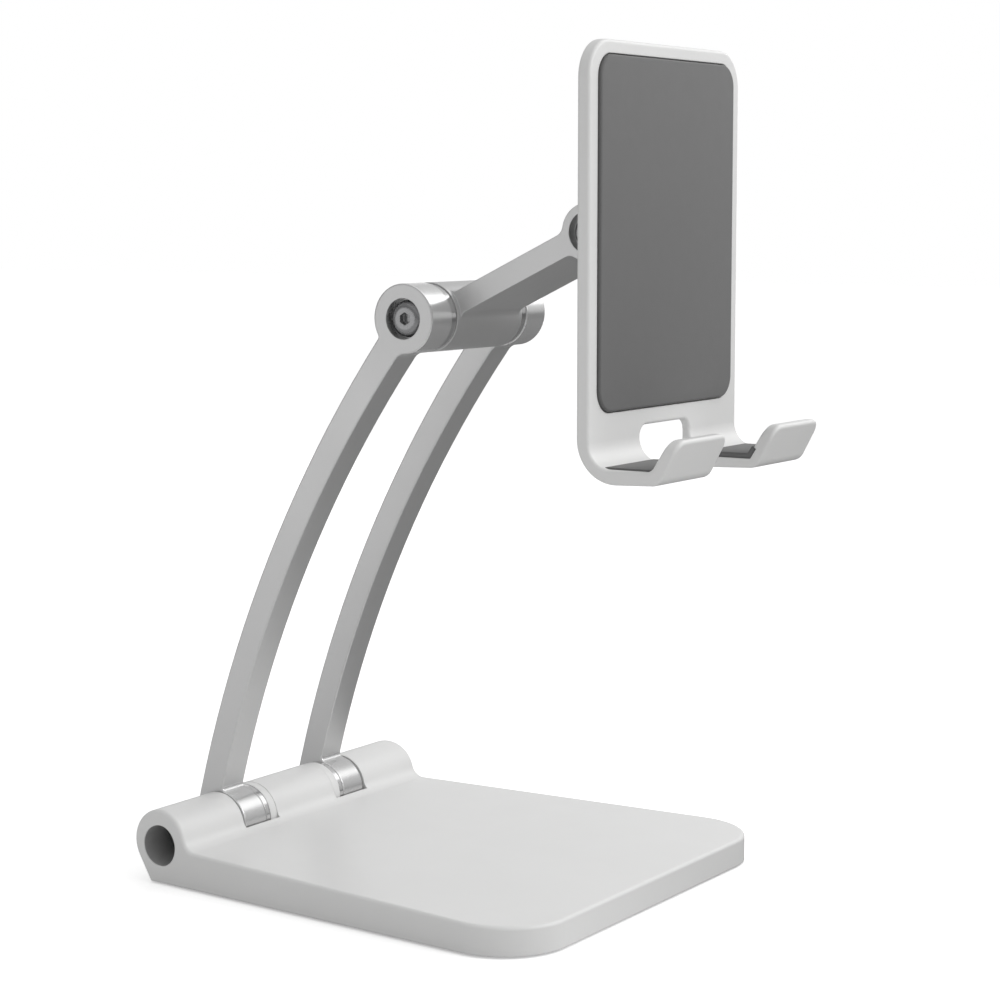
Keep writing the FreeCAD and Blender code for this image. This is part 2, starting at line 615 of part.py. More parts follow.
mat = keep(make_body("base_mat", ("0", "0", "0")))
shape_step(mat, "mat_slab", "XY_Plane",
           lambda sketch: plan_outline(sketch, "(dims.wall + dims.mat_inset)",
                                       "dims.hinge_back - dims.cavity_rear - dims.mat_inset"),
           "0", "dims.rim_gap + dims.cover_low")
round_edges(mat, "mat_corners", "dims.mat_corner", lambda edge: runs_along(edge, AXIS_Z))

# ---------------------------------------------------------------- base hinge
FLOOR = "dims.barrel_half - dims.end_recess_depth"
keep(cap_bolt("base_hinge_bolt", HINGE_AT, "-(%s)" % FLOOR, "dims.base_tail", "dims.base_head_radius",
              "dims.base_head_height", "dims.shank_radius"))
keep(ring("base_hinge_washer", HINGE_AT, FLOOR, "%s + dims.flat_washer_thickness" % FLOOR,
          "dims.flat_washer_radius", "dims.washer_bore"))
STACK = "%s + dims.flat_washer_thickness" % FLOOR
keep(dished_pair("base_spring_washers", HINGE_AT, STACK))
keep(hex_nut("base_hinge_nut", HINGE_AT, "%s + 2 * (dims.dish_gauge + dims.dish_rise)" % STACK,
             "dims.base_nut_height", "dims.nut_flats", "dims.nut_bore"))
for side_name, side in SIDES:
    low, high = span(side, "dims.rail_outer + 0.05", "dims.rail_outer + 0.05 + dims.slip_thickness")
    keep(ring("slip_washer_" + side_name, HINGE_AT, low, high, "dims.slip_radius", "dims.washer_bore"))
    low, high = span(side, "dims.ring_inner", "dims.ring_outer")
    keep(ring("knuckle_ring_" + side_name, HINGE_AT, low, high, "dims.ring_radius", "dims.washer_bore"))
    low, high = span(side, "dims.collar_inner", "dims.collar_outer")
    keep(ring("slot_collar_" + side_name, HINGE_AT, low, high, "dims.collar_radius", "dims.washer_bore"))
    low, high = span(side, "dims.rail_inner", "dims.rail_outer")
    keep(ring("rail_bush_" + side_name, HINGE_AT, low, high, "dims.bush_radius", "dims.hinge_bore"))

# ---------------------------------------------------------------- rails
for side_name, side in SIDES:
    rail = keep(make_body("%s_rail" % side_name, HINGE_AT))
    low, high = span(side, "dims.rail_inner", "dims.rail_outer")
    shape_step(rail, side_name + "_outline", "YZ_Plane", rail_outline, low, high)
    round_edges(rail, side_name + "_neck", "dims.eye_neck",
                lambda edge: runs_along(edge, AXIS_X) and middle_of(edge).z > 100
                and middle_of(edge).y < number("-dims.mid_reach") + 4)
    round_edges(rail, side_name + "_nape", "dims.eye_nape",
                lambda edge: runs_along(edge, AXIS_X) and middle_of(edge).z > 114
                and middle_of(edge).y > number("-dims.mid_reach") + 5.5)
    round_edges(rail, side_name + "_flare", "dims.foot_flare",
                lambda edge: runs_along(edge, AXIS_X) and 5 < middle_of(edge).z < 9
                and middle_of(edge).y < 3)
    round_edges(rail, side_name + "_edges", "dims.rail_round",
                lambda edge: not runs_along(edge, AXIS_X) and edge.BoundBox.XLength < 1e-4)
    shape_step(rail, side_name + "_foot_bore", "YZ_Plane",
               lambda sketch: circle(sketch, "0", "0", "dims.bush_bore"), low, high, cut=True)
    shape_step(rail, side_name + "_eye_bore", "YZ_Plane",
               lambda sketch: circle(sketch, "-dims.mid_reach", "dims.mid_rise", "dims.hinge_bore"),
               low, high, cut=True)
    depth = "dims.head_recess" if side < 0 else "dims.nut_recess"
    low, high = span(side, "dims.rail_outer - %s" % depth, "dims.rail_outer")
    shape_step(rail, side_name + "_eye_recess", "YZ_Plane",
               lambda sketch: circle(sketch, "-dims.mid_reach", "dims.mid_rise", "dims.eye_recess_radius"),
               low, high, cut=True)

# ---------------------------------------------------------------- middle hinge
keep(cap_bolt("mid_hinge_bolt", MID_AT, "-(dims.rail_outer - dims.head_recess)", "dims.mid_tail",
              "dims.mid_head_radius", "dims.mid_head_height", "dims.shank_radius", "dims.mid_head_crown"))
STACK = "dims.rail_outer - dims.nut_recess"
keep(dished_pair("mid_spring_washers", MID_AT, STACK))
keep(hex_nut("mid_hinge_nut", MID_AT, "%s + 2 * (dims.dish_gauge + dims.dish_rise)" % STACK,
             "dims.mid_nut_height", "dims.nut_flats", "dims.nut_bore"))
for side_name, side in SIDES:
    low, high = span(side, "dims.mid_washer_inner", "dims.mid_washer_outer")
    keep(ring("mid_washer_" + side_name, MID_AT, low, high, "dims.mid_washer_radius", "dims.washer_bore"))
    low, high = span(side, "dims.mid_bush_inner", "dims.mid_bush_outer")
    keep(ring("mid_bush_" + side_name, MID_AT, low, high, "dims.bush_radius", "dims.hinge_bore", tilted=True))

# ---------------------------------------------------------------- upper arm
arm = keep(make_body("upper_arm", MID_AT, tilted=True))
shape_step(arm, "arm_barrel", "YZ_Plane", lambda sketch: circle(sketch, "0", "0", "dims.arm_barrel_radius"),
           "-dims.arm_barrel_half", "dims.arm_barrel_half")
shape_step(arm, "arm_bar", "YZ_Plane",
           lambda sketch: rectangle(sketch, "-dims.arm_length", "0", "-dims.arm_half_depth",
                                    "dims.arm_half_depth"),
           "-dims.arm_half_width", "dims.arm_half_width")
shape_step(arm, "arm_ears", "YZ_Plane",
           lambda sketch: circle(sketch, "-dims.arm_length", "0", "dims.ear_radius"),
           "-dims.arm_half_width", "dims.arm_half_width")
round_edges(arm, "arm_root", "dims.arm_root_hollow",
            lambda edge: runs_along(edge, AXIS_X) and -8 < middle_of(edge).y < -5
            and abs(middle_of(edge).z) < 3)
round_edges(arm, "arm_tip", "dims.arm_tip_hollow",
            lambda edge: runs_along(edge, AXIS_X) and abs(middle_of(edge).z) < 3
            and -dims.arm_length + 4 < middle_of(edge).y < -dims.arm_length + 7)
shape_step(arm, "fork_slot", "YZ_Plane",
           lambda sketch: rectangle(sketch, "-dims.arm_length - 12", "-dims.arm_length + dims.fork_root",
                                    "-12", "12"),
           "-dims.fork_half", "dims.fork_half", cut=True)
shape_step(arm, "barrel_bore", "YZ_Plane", lambda sketch: circle(sketch, "0", "0", "dims.washer_bore"),
           "-dims.arm_barrel_half", "dims.arm_barrel_half", cut=True)
for side_name, side in SIDES:
    low, high = span(side, "dims.mid_bush_inner - 0.1", "dims.arm_barrel_half")
    shape_step(arm, "bush_seat_" + side_name, "YZ_Plane",
               lambda sketch: circle(sketch, "0", "0", "dims.bush_bore"), low, high, cut=True)
    depth = "dims.tip_head_recess" if side < 0 else "dims.tip_nut_recess"
    low, high = span(side, "dims.arm_half_width - %s" % depth, "dims.arm_half_width")
    shape_step(arm, "ear_recess_" + side_name, "YZ_Plane",
               lambda sketch: circle(sketch, "-dims.arm_length", "0", "dims.tip_recess_radius"),
               low, high, cut=True)
shape_step(arm, "ear_bore", "YZ_Plane",
           lambda sketch: circle(sketch, "-dims.arm_length", "0", "dims.tip_bore"),
           "-dims.arm_half_width", "dims.arm_half_width", cut=True)

# ---------------------------------------------------------------- tip hinge
keep(cap_bolt("tip_hinge_bolt", TIP_AT, "-(dims.arm_half_width - dims.tip_head_recess)",
              "dims.arm_half_width - 0.3", "dims.tip_head_radius", "dims.tip_head_height", "dims.tip_shank",
              tilted=True))
EAR_FLOOR = "dims.arm_half_width - dims.tip_nut_recess"
keep(ring("tip_spring_washer", TIP_AT, EAR_FLOOR, "%s + dims.tip_spring_thickness" % EAR_FLOOR,
          "dims.tip_head_radius", "dims.tip_bore + 0.05", tilted=True))
keep(hex_nut("tip_hinge_nut", TIP_AT, "%s + dims.tip_spring_thickness" % EAR_FLOOR, "dims.tip_nut_height",
             "dims.tip_nut_flats", "dims.tip_nut_bore", tilted=True))
for side_name, side in SIDES:
    low, high = span(side, "dims.tip_washer_inner", "dims.tip_washer_outer")
    keep(ring("tip_washer_" + side_name, TIP_AT, low, high, "dims.tip_washer_radius", "dims.tip_bore + 0.05",
              tilted=True))

# ---------------------------------------------------------------- holder bracket
BRACKET_SCREWS = [("%s * dims.bracket_screw_x" % sx, "%s * dims.bracket_screw_z" % sz)
                  for sx in ("-1", "1") for sz in ("-1", "1")]
bracket = keep(make_body("holder_bracket", TIP_AT))
shape_step(bracket, "bracket_foot", "XZ_Plane",
           lambda sketch: rectangle(sketch, "-dims.bracket_half_width", "dims.bracket_half_width",
                                    "-dims.bracket_half_height", "dims.bracket_half_height"),
           "dims.plate_rear", "dims.bracket_rear")
round_edges(bracket, "bracket_corners", "dims.bracket_corner", lambda edge: runs_along(edge, AXIS_Y))
shape_step(bracket, "bracket_web", "YZ_Plane",
           lambda sketch: rectangle(sketch, "dims.bracket_rear - 1", "0", "-dims.lug_web", "dims.lug_web"),
           "-dims.lug_half", "dims.lug_half")
shape_step(bracket, "bracket_lug", "YZ_Plane", lambda sketch: circle(sketch, "0", "0", "dims.lug_radius"),
           "-dims.lug_half", "dims.lug_half")
shape_step(bracket, "bracket_bore", "YZ_Plane", lambda sketch: circle(sketch, "0", "0", "dims.tip_bore"),
           "-dims.lug_half", "dims.lug_half", cut=True)
shape_step(bracket, "bracket_holes", "XZ_Plane", circles_at(BRACKET_SCREWS, "dims.small_bore"),
           "dims.plate_rear", "dims.plate_rear + dims.bracket_bore_depth", cut=True)


# ---------------------------------------------------------------- holder plate
def holder_profile(sketch):
    """Upright plate running into the hook floor and the flaring lip."""
    polygon(sketch, (
        ("dims.plate_rear", "dims.plate_top"), ("dims.plate_rear", "dims.heel_low"),
        ("dims.toe_y", "dims.toe_low"), ("dims.lip_front", "dims.lip_top"), ("dims.lip_rear", "dims.lip_top"),
        ("dims.floor_y", "dims.floor_top"), ("dims.plate_front", "dims.floor_top"),
        ("dims.plate_front", "dims.plate_top")))


def corner_test(along, up):
    """Picks the straight edge along X that starts from one profile corner."""
    y_mark = number(along)
    z_mark = number(up)

    def chosen(edge):
        spot = middle_of(edge)
        return runs_along(edge, AXIS_X) and abs(spot.y - y_mark) < 1e-3 and abs(spot.z - z_mark) < 1e-3
    return chosen


def pad_outline(sketch, clear):
    rectangle(sketch, "-dims.pad_half - %s" % clear, "dims.pad_half + %s" % clear,
              "dims.pad_low - %s" % clear, "dims.pad_high + %s" % clear)


def ledge_outline(sketch, top):
    """Side view of a ledge pad, or of its recess when the top lies above the hook floor."""
    polygon(sketch, (
        ("dims.ledge_rear", top), ("dims.ledge_rear", "dims.ledge_low"), ("dims.ledge_toe", "dims.ledge_low"),
        ("dims.ledge_tip_y", "dims.ledge_tip_z"), ("dims.ledge_lip_y", "dims.ledge_lip_z"),
        ("dims.ledge_bend", top)))


holder = keep(make_body("holder_plate", TIP_AT))
shape_step(holder, "holder_strip", "YZ_Plane", holder_profile, "-dims.plate_half", "dims.plate_half")
round_edges(holder, "holder_heel", "dims.bend_outer", corner_test("dims.plate_rear", "dims.heel_low"))
round_edges(holder, "holder_bend", "dims.bend_inner", corner_test("dims.plate_front", "dims.floor_top"))
round_edges(holder, "holder_lip_bend", "dims.lip_bend", corner_test("dims.floor_y", "dims.floor_top"))
round_edges(holder, "holder_toe", "dims.toe_round", corner_test("dims.toe_y", "dims.toe_low"))
shape_step(holder, "cable_opening", "XZ_Plane",
           lambda sketch: rectangle(sketch, "-dims.gap_half", "dims.gap_half", "dims.heel_low - 5",
                                    "dims.gap_top"),
           "dims.lip_front - 5", "dims.plate_rear + 5", cut=True)
round_edges(holder, "holder_corners", "dims.plate_corner",
            lambda edge: runs_along(edge, AXIS_Y) and middle_of(edge).z > number("dims.plate_top") - 1)
round_edges(holder, "opening_corners", "dims.gap_corner",
            lambda edge: runs_along(edge, AXIS_Y) and abs(middle_of(edge).z - number("dims.gap_top")) < 1e-3)
round_edges(holder, "lip_corners", "dims.lip_corner",
            lambda edge: runs_along(edge, AXIS_Y) and abs(middle_of(edge).z - number("dims.lip_top")) < 1e-3)
for face, along in (("front", "dims.plate_front"), ("rear", "dims.plate_rear")):
    round_edges(holder, "%s_rim" % face, "dims.plate_round",
                lambda edge: runs_along(edge, AXIS_Z) and abs(middle_of(edge).y - number(along)) < 1e-3
                and abs(middle_of(edge).x - number("dims.plate_half")) < 1e-3)

shape_step(holder, "opening_relief", "XZ_Plane",
           lambda sketch: rectangle(sketch, "-dims.gap_half - dims.relief_width",
                                    "dims.gap_half + dims.relief_width", "dims.heel_low - 1",
                                    "dims.gap_top + dims.relief_width"),
           "dims.plate_rear - dims.relief_depth", "dims.plate_rear + 1", cut=True)
shape_step(holder, "pad_recess", "XZ_Plane", lambda sketch: pad_outline(sketch, "dims.pad_clear"),
           "dims.plate_front - 3", "dims.plate_front + dims.pad_sink", cut=True)
round_edges(holder, "recess_corners", "dims.pad_corner + dims.pad_clear",
            lambda edge: runs_along(edge, AXIS_Y) and middle_of(edge).y < number("dims.plate_front") + 1.2
            and edge.Length < 1.3 and abs(abs(middle_of(edge).x) - number("dims.pad_half")) < 0.5)
for side_name, side in SIDES:
    low, high = span(side, "dims.gap_half - 1", "dims.ledge_outer")
    shape_step(holder, "ledge_recess_" + side_name, "YZ_Plane",
               lambda sketch: ledge_outline(sketch, "dims.floor_top + 0.3"), low, high, cut=True)
shape_step(holder, "holder_holes", "XZ_Plane", circles_at(BRACKET_SCREWS, "dims.small_bore + 0.1"),
           "dims.plate_front", "dims.plate_rear + 1", cut=True)
shape_step(holder, "holder_sinks", "XZ_Plane", circles_at(BRACKET_SCREWS, "dims.plate_sink_radius"),
           "dims.plate_front", "dims.plate_front + dims.pad_sink + dims.plate_sink_depth", cut=True)

# ---------------------------------------------------------------- pads and bracket screws
back_pad = keep(make_body("back_pad", TIP_AT))
PAD_FLOOR = "dims.plate_front + dims.pad_sink"
shape_step(back_pad, "back_pad_slab", "XZ_Plane", lambda sketch: pad_outline(sketch, "0"),
           "%s - dims.pad_thickness" % PAD_FLOOR, PAD_FLOOR)
round_edges(back_pad, "back_pad_corners", "dims.pad_corner", lambda edge: runs_along(edge, AXIS_Y))

for side_name, side in SIDES:
    pad = keep(make_body("ledge_pad_" + side_name, TIP_AT))
    low, high = span(side, "dims.gap_half + 0.1", "dims.ledge_outer - 0.1")
    shape_step(pad, pad.Label + "_strip", "YZ_Plane", lambda sketch: ledge_outline(sketch, "dims.ledge_top"),
               low, high)

TIP_X, TIP_Y, TIP_Z = TIP_AT
keep(screw_group(
    "bracket_screws",
    [(across, "%s + %s + dims.plate_sink_depth" % (TIP_Y, PAD_FLOOR), "%s + %s" % (TIP_Z, up))
     for across, up in BRACKET_SCREWS],
    "XZ_Plane", "dims.bracket_screw_head", "dims.bracket_screw_length"))

# ---------------------------------------------------------------- checks and export
doc.recompute()
faulty = [item.Label for item in doc.Objects if "Invalid" in item.State or "Error" in item.State]
if faulty:
    raise RuntimeError("faulty objects: %s" % ", ".join(faulty))
os.makedirs("parts", exist_ok=True)
for item in parts:
    shape = item.Shape
    if shape.isNull() or not shape.isValid() or not shape.Solids:
        raise RuntimeError("bad shape: %s" % item.Label)
    shape.exportStep("parts/%s.step" % item.Label)
print("wrote %d parts" % len(parts))
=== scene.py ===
"""Phone stand: finishes, silicone pads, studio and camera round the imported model.

Lengths are metres in the row frame: X along the hinges, -Y towards the user, Z up, table at zero.
"""
import json
import math

import bmesh
import bpy
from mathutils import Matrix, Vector


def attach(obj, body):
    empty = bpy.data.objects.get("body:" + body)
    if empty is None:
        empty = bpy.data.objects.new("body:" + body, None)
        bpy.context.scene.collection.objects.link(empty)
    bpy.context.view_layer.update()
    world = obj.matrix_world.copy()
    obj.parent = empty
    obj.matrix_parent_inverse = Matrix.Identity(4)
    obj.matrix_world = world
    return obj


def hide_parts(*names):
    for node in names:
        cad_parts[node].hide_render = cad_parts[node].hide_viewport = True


MM = 0.001

# the bores in the ends of the base barrel, coloured darker inside as painted shade: a radius a little over
# theirs, where they start and end, from the middle plane, and how far the left one lies under the hinge
# axis
BORE_RADIUS = 4.78 * MM
BORE_FROM = 33.0 * MM
BORE_TO = 44.8 * MM
BORE_DROP = 0.75 * MM

# the turned, polished surfaces round the hinge axes: radius and tone, and how far from the middle plane
# they start; the tones are painted light, the middle hinge's lighter as a painted highlight and the base
# hinge's darker as painted shade
TURNED = {"base_hinge": (8.4 * MM, 0.60), "middle_hinge": (7.8 * MM, 0.80)}
TURNED_FROM = 15.0 * MM

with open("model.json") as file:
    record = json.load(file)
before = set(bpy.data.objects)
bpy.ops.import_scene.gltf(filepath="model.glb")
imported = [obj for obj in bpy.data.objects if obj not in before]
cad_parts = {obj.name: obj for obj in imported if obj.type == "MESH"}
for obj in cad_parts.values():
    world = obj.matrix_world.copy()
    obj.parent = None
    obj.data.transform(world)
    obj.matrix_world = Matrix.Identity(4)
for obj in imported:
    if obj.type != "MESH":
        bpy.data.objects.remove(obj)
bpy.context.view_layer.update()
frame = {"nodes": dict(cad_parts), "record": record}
nodes = frame["nodes"]
HINGES = {joint["name"]: Vector(joint["pos_m"]) for joint in frame["record"]["behaviour"]["joints"]}


# ---------------------------------------------------------------- node helpers
class Finish:
    """A material under construction: its node tree, its shader and short ways to add nodes."""

    def __init__(self, name, colour, roughness, metallic=0.0):
        self.material = bpy.data.materials.new(name)
        self.material.use_nodes = True
        self.tree = self.material.node_tree
        self.shader = self.tree.nodes["Principled BSDF"]
        self.shader.inputs["Metallic"].default_value = metallic
        self.colour = (*colour, 1.0)
        self.roughness = roughness
        self.place = self.tree.nodes.new("ShaderNodeTexCoord").outputs["Object"]

    def node(self, kind, inputs=(), **settings):
        """Adds a shader node, with its settings, and links or sets its inputs."""
        made = self.tree.nodes.new("ShaderNode" + kind)
        for name, value in settings.items():
            setattr(made, name, value)
        for name, value in dict(inputs).items():
            if isinstance(value, bpy.types.NodeSocket):
                self.tree.links.new(value, made.inputs[name])
            else:
                made.inputs[name].default_value = value
        return made

    def noise(self, scale, detail=2.0, stretch=(1.0, 1.0, 1.0)):
        """Noise whose grains are one over the scale long; stretch squeezes it along an axis."""
        spot = self.node("Mapping", {"Vector": self.place, "Scale": stretch})
        made = self.node("TexNoise", {"Vector": spot.outputs["Vector"], "Scale": scale, "Detail": detail})
        return made.outputs["Fac"]

    def between(self, value, low, high):
        """The 0 to 1 value carried to low to high."""
        made = self.node("MapRange", {"Value": value, "To Min": low, "To Max": high})
        return made.outputs["Result"]

    def near_axis(self, spot, radius, fade=0.05 * MM):
        """1 inside a cylinder round the line along X through a spot, and 0 outside it."""
        offset = self.node("VectorMath", {0: self.place, 1: spot}, operation="SUBTRACT")
        across = self.node("VectorMath", {0: offset.outputs["Vector"], 1: (0.0, 1.0, 1.0)},
                           operation="MULTIPLY")
        length = self.node("VectorMath", {0: across.outputs["Vector"]}, operation="LENGTH")
        made = self.node("MapRange", {"Value": length.outputs["Value"], "From Min": radius + fade,
                                      "From Max": radius - fade})
        return made.outputs["Result"]

    def side_facing(self, low=0.45, high=0.75):
        """1 on faces square to the hinge axes and 0 on surfaces that run along them."""
        direction = self.tree.nodes.new("ShaderNodeTexCoord").outputs["Normal"]
        normal = self.node("SeparateXYZ", {"Vector": direction})
        size = self.node("Math", {0: normal.outputs["X"]}, operation="ABSOLUTE")
        made = self.node("MapRange", {"Value": size.outputs["Value"], "From Min": low, "From Max": high})
        return made.outputs["Result"]

    def beyond(self, limit):
        """1 where the distance from the middle plane, along X, is over a limit."""
        spot = self.node("SeparateXYZ", {"Vector": self.place})
        size = self.node("Math", {0: spot.outputs["X"]}, operation="ABSOLUTE")
        made = self.node("Math", {0: size.outputs["Value"], 1: limit}, operation="GREATER_THAN")
        return made.outputs["Value"]

    def product(self, first, second):
        """Two masks multiplied: 1 only where both are."""
        return self.node("Math", {0: first, 1: second}, operation="MULTIPLY").outputs["Value"]

    def inverse(self, value):
        """A mask turned round: 1 where it was 0."""
        return self.node("Math", {0: 1.0, 1: value}, operation="SUBTRACT").outputs["Value"]

    def swap(self, mask, colour, low, high):
        """Where the mask is 1 the shader gets another colour and roughness."""
        old = self.shader.inputs["Base Color"].links[0].from_socket
        tone = self.node("Mix", {"Factor": mask, "A": old, "B": (*colour, 1.0)}, data_type="RGBA")
        self.tree.links.new(tone.outputs["Result"], self.shader.inputs["Base Color"])
        old = self.shader.inputs["Roughness"].links[0].from_socket
        fine = self.between(self.noise(1400.0, 1.0, (1.0, 0.05, 0.05)), low, high)
        gloss = self.node("Mix", {"Factor": mask, "A": old, "B": fine}, data_type="FLOAT")
        self.tree.links.new(gloss.outputs["Result"], self.shader.inputs["Roughness"])

    def edges(self, radius):
        """1 on edges sharper than the radius and 0 on the open faces."""
        bent = self.node("Bevel", {"Radius": radius}, samples=6)
        straight = self.node("NewGeometry")
        match = self.node("VectorMath", {0: bent.outputs["Normal"], 1: straight.outputs["Normal"]},
                          operation="DOT_PRODUCT")
        made = self.node("MapRange", {"Value": match.outputs["Value"], "From Min": 0.99, "From Max": 0.86})
        return made.outputs["Result"]

    def finish(self, tones, sheen, bumps, edge_radius, edge_wear_and_shade=None):
        """Joins the parts: mottled colour, uneven gloss, layered bumps over softly rounded edges.

        tones is (mask, tint share), sheen is (mask, spread), bumps are (height mask, distance) pairs and
        edge_wear_and_shade is (edge mask, colour, share): worn edges, and on the silicone a painted shadow
        along the edges.
        """
        mask, share = tones
        shade = self.node("Mix", {"Factor": self.between(mask, 0.0, share), "A": self.colour,
                                  "B": tuple(0.72 * c for c in self.colour[:3]) + (1.0,)}, data_type="RGBA")
        colour = shade.outputs["Result"]
        # edge colour: wear on the coat and metals, painted shadow on the silicone
        if edge_wear_and_shade:
            edge, edge_colour, amount = edge_wear_and_shade
            mixed = self.node("Mix", {"Factor": self.between(edge, 0.0, amount), "A": colour,
                                      "B": (*edge_colour, 1.0)}, data_type="RGBA")
            colour = mixed.outputs["Result"]
        self.tree.links.new(colour, self.shader.inputs["Base Color"])
        mask, spread = sheen
        gloss = self.between(mask, self.roughness - spread, self.roughness + spread)
        self.tree.links.new(gloss, self.shader.inputs["Roughness"])
        normal = self.node("Bevel", {"Radius": edge_radius}, samples=6).outputs["Normal"]
        for height, distance in bumps:
            bump = self.node("Bump", {"Height": height, "Distance": distance, "Strength": 1.0,
                                      "Normal": normal})
            normal = bump.outputs["Normal"]
        self.tree.links.new(normal, self.shader.inputs["Normal"])
        return self.material


# ---------------------------------------------------------------- finishes
def powder_coat():
    """Satin silver-white powder coat with a fine orange peel and slightly polished edges.

    The deep bores in the barrel ends are coloured a dull, darker grey: painted shade in the recesses.
    """
    coat = Finish("white_powder_coat", (0.76, 0.76, 0.755), 0.38)
    coat.shader.inputs["Coat Weight"].default_value = 0.10
    coat.shader.inputs["Coat Roughness"].default_value = 0.25
    made = coat.finish((coat.noise(55.0, 3.0), 0.12), (coat.noise(140.0, 2.0), 0.06),
                       ((coat.noise(850.0, 2.0), 0.018 * MM), (coat.noise(4200.0, 1.0), 0.004 * MM)),
                       0.35 * MM, (coat.edges(0.5 * MM), (0.80, 0.80, 0.795), 0.4))
    recess = coat.near_axis(HINGES["base_hinge"] - Vector((0.0, 0.0, BORE_DROP)), BORE_RADIUS)
    deep = coat.product(coat.beyond(BORE_FROM), coat.inverse(coat.beyond(BORE_TO)))
    # painted shade: a dull darker grey inside the bores in the barrel ends
    coat.swap(coat.product(recess, deep), (0.40, 0.40, 0.40), 0.45, 0.6)
    return made


def blasted_aluminium():
    """Fine blasted, anodised aluminium with faint mill lines along the rails.

    The turned surfaces round the two lower hinge axes are polished; their tones are painted light, lighter
    at the middle hinge as a painted highlight and darker at the base hinge as painted shade.
    """
    metal = Finish("satin_aluminium", (0.66, 0.66, 0.66), 0.42, 0.85)
    lines = metal.noise(900.0, 2.0, (1.0, 0.03, 0.03))
    made = metal.finish((metal.noise(70.0, 3.0), 0.14), (lines, 0.05),
                        ((metal.noise(5200.0, 1.0), 0.006 * MM), (lines, 0.004 * MM)),
                        0.3 * MM, (metal.edges(0.4 * MM), (0.74, 0.74, 0.74), 0.4))
    turned = metal.product(metal.inverse(metal.side_facing()), metal.beyond(TURNED_FROM))
    for hinge, (radius, shade) in TURNED.items():
        polished = metal.product(metal.near_axis(HINGES[hinge], radius), turned)
        # painted light: each hinge's polished tone, lighter at the middle hinge as painted highlight,
        # darker at the base as painted shade
        metal.swap(polished, (shade,) * 3, 0.20, 0.30)
    return made


def polished_steel():
    """Turned and polished rings with hair-fine turning marks round the hinge axis."""
    metal = Finish("polished_steel", (0.62, 0.62, 0.62), 0.16, 1.0)
    turning = metal.noise(2600.0, 1.0, (1.0, 0.04, 0.04))
    return metal.finish((metal.noise(120.0, 2.0), 0.10), (turning, 0.06),
                        ((turning, 0.0015 * MM),), 0.25 * MM)


def plated_steel():
    """Zinc-plated fasteners, a little mottled."""
    metal = Finish("plated_steel", (0.29, 0.29, 0.295), 0.26, 1.0)
    return metal.finish((metal.noise(600.0, 3.0), 0.35), (metal.noise(900.0, 2.0), 0.08),
                        ((metal.noise(2600.0, 2.0), 0.005 * MM),), 0.3 * MM,
                        (metal.edges(0.4 * MM), (0.7, 0.7, 0.7), 0.6))


def silicone():
    """Matt grey silicone with a fine moulded grain and a trace of dust; its edges are painted near black as
    painted shadow.
    """
    rubber = Finish("grey_silicone", (0.148, 0.148, 0.148), 0.62)
    rubber.shader.inputs["Specular IOR Level"].default_value = 0.35
    rubber.shader.inputs["Sheen Weight"].default_value = 0.08
    rubber.shader.inputs["Sheen Roughness"].default_value = 0.5
    return rubber.finish((rubber.noise(90.0, 4.0), 0.16), (rubber.noise(300.0, 2.0), 0.06),
                         ((rubber.noise(2400.0, 2.0), 0.02 * MM),), 0.25 * MM,
                         # painted shadow: the near-black edge colour stands in for the shade in the gaps
                         # round the pads
                         (rubber.edges(0.8 * MM), (0.04, 0.04, 0.04), 0.9))


def moulded_plastic(name, shade, grain):
    """Moulded plastic with an eroded grain."""
    plastic = Finish(name, (shade, shade, shade), 0.55)
    return plastic.finish((plastic.noise(80.0, 3.0), 0.12), (plastic.noise(500.0, 2.0), 0.07),
                          ((plastic.noise(grain, 2.0), 0.03 * MM),), 0.25 * MM)


FINISHES = {
    "white_paint": powder_coat(),
    "satin_aluminium": blasted_aluminium(),
    "polished_steel": polished_steel(),
    "steel": plated_steel(),
    "grey_silicone": silicone(),
    "cover_plastic": moulded_plastic("cover_plastic", 0.55, 1100.0),
    "bearing_plastic": moulded_plastic("bearing_plastic", 0.10, 1800.0),
}

for part in frame["record"]["subparts"]:
    mesh = nodes[part["node"]].data
    mesh.materials.clear()
    mesh.materials.append(FINISHES[part["material_slot"]])


# ---------------------------------------------------------------- silicone pieces
def silicone_piece(node, body, rounding, steps, press=None):
    """A moulded piece on the outline of a CAD node, its sharp edges rounded.

    press is (direction, margin, depth): the face that looks that way gets a raised border of the margin's
    width round a shallow pressed field.
    """
    bm = bmesh.new()
    bm.from_mesh(nodes[node].data)
    bmesh.ops.remove_doubles(bm, verts=bm.verts, dist=0.002 * MM)
    bmesh.ops.dissolve_limit(bm, angle_limit=math.radians(1.0), verts=bm.verts, edges=bm.edges)
    sharp = [edge for edge in bm.edges
             if len(edge.link_faces) == 2 and edge.calc_face_angle() > math.radians(28)]
    bmesh.ops.bevel(bm, geom=sharp, offset=rounding, offset_type="OFFSET", segments=steps, profile=0.5,
                    affect="EDGES", clamp_overlap=True)
    if press:
        direction, margin, depth = press
        bm.faces.ensure_lookup_table()
        facing = [face for face in bm.faces if face.normal.dot(Vector(direction)) > 0.999]
        field = max(facing, key=lambda face: face.calc_area())
        bmesh.ops.inset_region(bm, faces=[field], thickness=margin, use_even_offset=True)
        bmesh.ops.inset_region(bm, faces=[field], thickness=2 * depth, depth=-depth, use_even_offset=True)
    mesh = bpy.data.meshes.new(node + "_moulded")
    bm.to_mesh(mesh)
    bm.free()
    for face in mesh.polygons:
        face.use_smooth = True
    mesh.set_sharp_from_angle(angle=math.radians(35))
    mesh.materials.append(FINISHES["grey_silicone"])
    piece = bpy.data.objects.new(node + "_moulded", mesh)
    bpy.context.scene.collection.objects.link(piece)
    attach(piece, body)
    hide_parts(node)
    return piece


